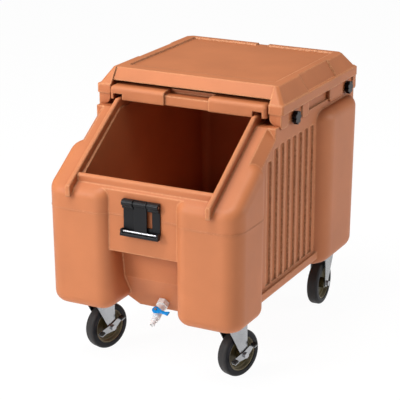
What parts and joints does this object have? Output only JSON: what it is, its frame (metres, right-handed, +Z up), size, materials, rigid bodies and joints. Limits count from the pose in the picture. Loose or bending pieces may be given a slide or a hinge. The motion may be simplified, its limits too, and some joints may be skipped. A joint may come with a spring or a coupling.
{
  "type": "mobile ice bin",
  "caption": "Foam-filled plastic bin on swivel casters, with a sloping front opening, a sliding lid under a top cover, a latch and a drain valve.",
  "frame": {"origin": "on the floor, under the centre of the whole part's bounding box", "axes": "+Z up, +Y to the rear, +X to the right seen from the front"},
  "size_m": [0.5874, 0.7947, 0.743],
  "materials": {
    "shell": "satin",
    "foam": "matte",
    "shelf": "satin",
    "white_plastic": "satin",
    "blue_plastic": "satin",
    "black_plastic": "satin",
    "black_rubber": "matte",
    "steel": "satin",
    "zinc": "satin",
    "brass": "satin",
    "core_plastic": "satin",
    "tyre": "matte"
  },
  "bodies": {
    "bin": {"bin_shell": "shell", "foam_core": "foam", "foam_fill_plugs": "shell", "drain_fitting": "white_plastic", "drain_gasket": "black_rubber", "drain_locknut": "white_plastic", "valve_body": "white_plastic", "valve_nozzle": "white_plastic", "latch_base": "black_plastic", "latch_screws": "steel", "latch_pin": "steel", "cover_knob_inserts": "brass", "caster_sockets": "brass", "caster_bolts": "steel", "caster_top_plates": "zinc", "caster_kingpins": "steel", "swivel_balls": "steel"},
    "cover": {"top_cover": "shell"},
    "shelf": {"drain_shelf": "shelf"},
    "lid": {"sliding_lid": "shell", "lid_glides": "white_plastic", "lid_glide_pins": "steel"},
    "latch": {"latch_lever": "black_plastic", "latch_rod": "steel"},
    "valve": {"valve_handle": "blue_plastic", "valve_handle_screw": "steel", "valve_stem": "white_plastic", "valve_ball": "white_plastic"},
    "knob_left_front": {"cover_knob_left_front": "black_plastic", "knob_stud_left_front": "steel"},
    "knob_left_rear": {"cover_knob_left_rear": "black_plastic", "knob_stud_left_rear": "steel"},
    "knob_right_front": {"cover_knob_right_front": "black_plastic", "knob_stud_right_front": "steel"},
    "knob_right_rear": {"cover_knob_right_rear": "black_plastic", "knob_stud_right_rear": "steel"},
    "swivel_front_left": {"fork_front_left": "zinc", "axle_front_left": "steel"},
    "wheel_front_left": {"wheel_core_front_left": "core_plastic", "tyre_front_left": "tyre"},
    "brake_front_left": {"brake_lever_front_left": "zinc", "brake_pads_front_left": "black_plastic"},
    "swivel_front_right": {"fork_front_right": "zinc", "axle_front_right": "steel"},
    "wheel_front_right": {"wheel_core_front_right": "core_plastic", "tyre_front_right": "tyre"},
    "brake_front_right": {"brake_lever_front_right": "zinc", "brake_pads_front_right": "black_plastic"},
    "swivel_rear_left": {"fork_rear_left": "zinc", "axle_rear_left": "steel"},
    "wheel_rear_left": {"wheel_core_rear_left": "core_plastic", "tyre_rear_left": "tyre"},
    "swivel_rear_right": {"fork_rear_right": "zinc", "axle_rear_right": "steel"},
    "wheel_rear_right": {"wheel_core_rear_right": "core_plastic", "tyre_rear_right": "tyre"}
  },
  "joints": [
    {"name": "cover_lift", "type": "slide", "parent": "bin", "child": "cover", "axis": [0, 0, 1], "range_m": [0, 0.25]},
    {"name": "shelf_lift", "type": "slide", "parent": "bin", "child": "shelf", "axis": [0, 0, 1], "range_m": [0, 0.3]},
    {"name": "lid_travel", "type": "hinge", "parent": "bin", "child": "lid", "pos_m": [0, 0.00343, 0.18795], "axis": [1, 0, 0], "range_deg": [0, 33]},
    {"name": "latch_turn", "type": "hinge", "parent": "bin", "child": "latch", "pos_m": [0, -0.3738, 0.4755], "axis": [-1, 0, 0], "range_deg": [0, 150]},
    {"name": "valve_turn", "type": "hinge", "parent": "bin", "child": "valve", "pos_m": [0, -0.29154, 0.15073], "axis": [0, 0.515, -0.8572], "range_deg": [0, 90]},
    {"name": "knob_turn_left_front", "type": "hinge", "parent": "bin", "child": "knob_left_front", "pos_m": [-0.256, -0.03, 0.652], "axis": [-1, 0, 0], "continuous": true},
    {"name": "knob_turn_left_rear", "type": "hinge", "parent": "bin", "child": "knob_left_rear", "pos_m": [-0.256, 0.327, 0.652], "axis": [-1, 0, 0], "continuous": true},
    {"name": "knob_turn_right_front", "type": "hinge", "parent": "bin", "child": "knob_right_front", "pos_m": [0.256, -0.03, 0.652], "axis": [1, 0, 0], "continuous": true},
    {"name": "knob_turn_right_rear", "type": "hinge", "parent": "bin", "child": "knob_right_rear", "pos_m": [0.256, 0.327, 0.652], "axis": [1, 0, 0], "continuous": true},
    {"name": "swivel_turn_front_left", "type": "hinge", "parent": "bin", "child": "swivel_front_left", "pos_m": [-0.198, -0.262, 0.168], "axis": [0, 0, 1], "continuous": true},
    {"name": "wheel_turn_front_left", "type": "hinge", "parent": "swivel_front_left", "child": "wheel_front_left", "pos_m": [-0.18888, -0.23553, 0.0635], "axis": [0.9455, -0.3256, 0], "continuous": true},
    {"name": "brake_turn_front_left", "type": "hinge", "parent": "swivel_front_left", "child": "brake_front_left", "pos_m": [-0.18888, -0.23553, 0.0635], "axis": [0.9455, -0.3256, 0], "range_deg": [0, 20]},
    {"name": "swivel_turn_front_right", "type": "hinge", "parent": "bin", "child": "swivel_front_right", "pos_m": [0.198, -0.262, 0.168], "axis": [0, 0, 1], "continuous": true},
    {"name": "wheel_turn_front_right", "type": "hinge", "parent": "swivel_front_right", "child": "wheel_front_right", "pos_m": [0.20712, -0.23553, 0.0635], "axis": [0.9455, -0.3256, 0], "continuous": true},
    {"name": "brake_turn_front_right", "type": "hinge", "parent": "swivel_front_right", "child": "brake_front_right", "pos_m": [0.20712, -0.23553, 0.0635], "axis": [0.9455, -0.3256, 0], "range_deg": [0, 20]},
    {"name": "swivel_turn_rear_left", "type": "hinge", "parent": "bin", "child": "swivel_rear_left", "pos_m": [-0.198, 0.348, 0.168], "axis": [0, 0, 1], "continuous": true},
    {"name": "wheel_turn_rear_left", "type": "hinge", "parent": "swivel_rear_left", "child": "wheel_rear_left", "pos_m": [-0.19678, 0.32003, 0.0635], "axis": [-0.999, -0.0436, 0], "continuous": true},
    {"name": "swivel_turn_rear_right", "type": "hinge", "parent": "bin", "child": "swivel_rear_right", "pos_m": [0.198, 0.348, 0.168], "axis": [0, 0, 1], "continuous": true},
    {"name": "wheel_turn_rear_right", "type": "hinge", "parent": "swivel_rear_right", "child": "wheel_rear_right", "pos_m": [0.19922, 0.32003, 0.0635], "axis": [-0.999, -0.0436, 0], "continuous": true}
  ]
}
